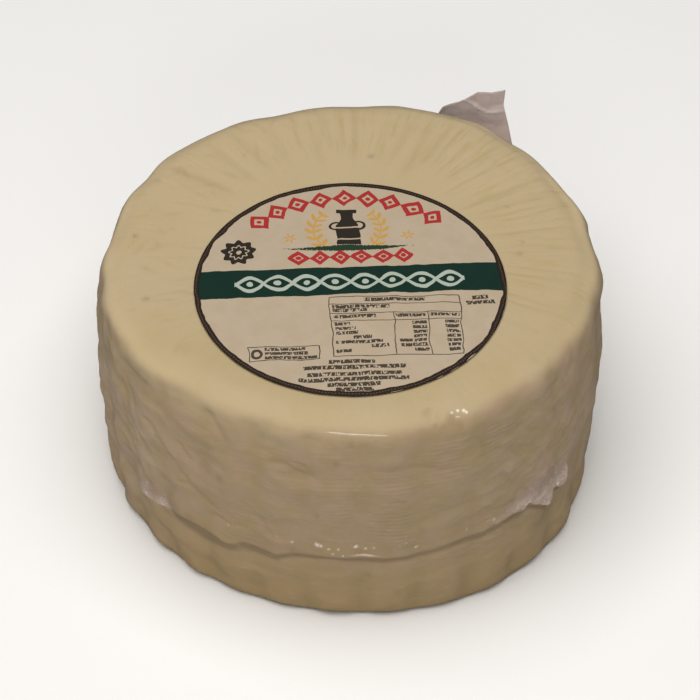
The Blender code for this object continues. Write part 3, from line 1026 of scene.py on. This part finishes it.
# The bag's spare corner. A flap of doubled film that stands up behind the round, drawn to a point, with a
# sharp fold across it where it was creased. Its upper and its right edge are given as the share of the way
# along and the place there.
CORNER_COLUMNS = 60
CORNER_ROWS = 44
CORNER_THICKNESS = 0.00025
FOLD_START = 0.0435
CORNER_TOP = (
    (0.00, 0.0318, 0.0950, 0.0820), (0.16, 0.0362, 0.1000, 0.0868), (0.32, 0.0425, 0.1005, 0.0887),
    (0.44, 0.0458, 0.1005, 0.0906), (0.58, 0.0497, 0.1005, 0.0936), (0.78, 0.0550, 0.1010, 0.0930),
    (1.00, 0.0608, 0.1030, 0.0927),
)
CORNER_EDGE = (
    (0.00, 0.0660, 0.0690, 0.0600), (0.35, 0.0646, 0.0880, 0.0725), (0.60, 0.0622, 0.0985, 0.0790),
    (0.80, 0.0602, 0.1015, 0.0865), (1.00, 0.0608, 0.1030, 0.0927),
)


def through(share, points):
    """The place at each share of the way through a row of points, each given with its own share."""
    rows = np.array(points)
    return np.stack([np.interp(share, rows[:, 0], rows[:, axis]) for axis in (1, 2, 3)], axis=1)


corner = add_grid("film_corner", CORNER_COLUMNS, CORNER_ROWS)
grid = coordinates(corner.data, "co")
aside = (grid[:, 0] + 1) / 2
upward = (grid[:, 1] + 1) / 2
root_turns = np.radians(72 - 26 * aside)
root = np.stack([np.cos(root_turns) * 0.0952, np.sin(root_turns) * 0.0952, 0.0585 + 0.0015 * aside], axis=1)
root_end = np.array(CORNER_EDGE[0][1:])
root = root + (root_end - root[np.argmax(aside)]) * (aside ** 3)[:, None]
top = through(aside, CORNER_TOP)
corner_places = root + (top - root) * upward[:, None]
straight_edge = root_end + (np.array(CORNER_EDGE[-1][1:]) - root_end) * upward[:, None]
corner_places += (through(upward, CORNER_EDGE) - straight_edge) * (aside ** 2)[:, None]
corner_places[:, 1] += 0.0035 * np.sin(math.pi * upward) * (1 - aside ** 2)

# The fold runs to the right and a little down, and the film above it leans back
rightward = corner_places[:, 0]
fold_height = 0.0896 - 0.0048 * rise(0.0440, 0.0550, rightward)
on_fold = rise(FOLD_START, FOLD_START + 0.0030, rightward)
fold = hump(corner_places[:, 2], fold_height, 0.0005) * on_fold * (1 - 0.5 * rise(0.0560, 0.0600, rightward))
above_fold = rise(0.0, 0.0020, corner_places[:, 2] - fold_height) * on_fold
corner_places[:, 1] += -0.0004 * fold + 0.0003 * above_fold
creases = 0.0006 * cloudy(corner_places, 0.012, 12) + 0.0003 * cloudy(corner_places, 0.004, 13)
corner_places[:, 1] += creases * rise(0.0, 0.25, upward)
move_to(corner, corner_places)
# A painted highlight along the fold, painted light on the film above it, and a darker colour low down
add_layer(corner, "fold", fold)
add_layer(corner, "above", above_fold)
add_layer(corner, "free", rise(0.0, 0.22, upward + 0.05 * cloudy(corner_places, 0.008, 15)))
add_layer(corner, "low", 1 - rise(0.070, 0.089, corner_places[:, 2]))
give_wall(corner, CORNER_THICKNESS, 0)


def corner_finish():
    """Cloudy doubled film, greyish pink, nearly opaque, darker low down, with painted light above its fold
    and a painted highlight along it.
    """
    slack = Finish("slack_film")
    place = slack.position()
    smoke = slack.eased(slack.grain(place, 90.0, 3.0), 0.3, 0.7)
    colour = slack.mixed(smoke, (0.50, 0.385, 0.345, 1), (0.57, 0.445, 0.405, 1))
    colour = slack.coated(colour, (
        (slack.layer("low") * 0.85, (0.300, 0.225, 0.178, 1)),
        (slack.layer("above"), (0.60, 0.47, 0.42, 1)),
        (slack.layer("fold") * 0.8, (0.92, 0.84, 0.80, 1)),
    ))
    crinkle = slack.bumped(slack.grain(place, 380.0, 3.0, 0.6), 0.0004)
    plastic = slack.principled({"Base Color": colour, "Roughness": 0.22, "Normal": crinkle})
    cover = (slack.layer("fold") * 0.2 + slack.layer("low") * 0.2 + 0.66 + smoke * 0.08).smaller(1.0)
    return slack.show_through(cover * slack.layer("free"), plastic)


corner.data.materials.append(corner_finish())
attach(corner, "root")
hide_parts("bag_corner")


# The floor and the lights. A plain pale floor that the film doesn't mirror, one large soft light overhead,
# and a small lamp in front for the glints on the wet curd.
bpy.ops.object.select_all(action="DESELECT")
bpy.ops.mesh.primitive_plane_add(size=6.0, location=(0, 0, 0))
floor = bpy.context.object
floor.name = "floor"
pale = Finish("pale_floor")
matt = pale.principled({"Base Color": (0.93, 0.93, 0.93, 1), "Roughness": 0.9})
floor.data.materials.append(pale.show(matt))
floor.visible_glossy = False


def add_lamp(name, bearing, elevation, away, size, power, colour, mirrored):
    """A rectangular lamp that faces the middle of the round, and shows in its shine only if mirrored."""
    turn = math.radians(bearing)
    climb = math.radians(elevation)
    back = Vector((math.cos(turn) * math.cos(climb), math.sin(turn) * math.cos(climb), math.sin(climb)))
    data = bpy.data.lights.new(name, "AREA")
    data.shape = "RECTANGLE"
    data.size, data.size_y = size
    data.energy = power
    data.color = colour
    lamp = bpy.data.objects.new(name, data)
    lamp.location = Vector((0, 0, 0.05)) + back * away
    lamp.visible_glossy = mirrored
    lamp.rotation_mode = "QUATERNION"
    lamp.rotation_quaternion = back.to_track_quat("Z", "Y")
    bpy.context.collection.objects.link(lamp)


add_lamp("ceiling_light", -120, 80, 1.8, (2.0, 2.0), 42, (1.0, 0.98, 0.95), False)
add_lamp("glint_light", -89.5, 32, 1.2, (0.42, 0.13), 1.6, (1.0, 0.98, 0.95), True)
world = bpy.data.worlds.new("studio")
world.use_nodes = True
glow = world.node_tree.nodes["Background"].inputs
glow["Color"].default_value = (1.0, 0.98, 0.96, 1)
glow["Strength"].default_value = 0.06
bpy.context.scene.world = world
bpy.context.scene.view_settings.view_transform = "Standard"

# The camera: a long lens, looking down on the round from in front, with a hair of tilt
VIEW_ELEVATION = 43.67
VIEW_DISTANCE = 1.3
VIEW_DROP = 0.000705
VIEW_ROLL = 0.2745
VIEW_LENS = 175.42
elevation = math.radians(VIEW_ELEVATION)
back = Vector((0, -math.cos(elevation), math.sin(elevation)))
view_up = Vector((0, math.sin(elevation), math.cos(elevation)))
lens = bpy.data.cameras.new("camera")
lens.sensor_width = 36.0
lens.lens = VIEW_LENS
camera = bpy.data.objects.new("camera", lens)
camera.location = Vector((0, 0, round_high.z / 2)) - view_up * VIEW_DROP + back * VIEW_DISTANCE
camera.rotation_mode = "QUATERNION"
camera.rotation_quaternion = back.to_track_quat("Z", "Y") @ Quaternion((0, 0, 1), math.radians(VIEW_ROLL))
bpy.context.collection.objects.link(camera)
bpy.context.scene.camera = camera

# The smoothed form that the cheese was laid on is no longer needed
bpy.data.objects.remove(round_form)
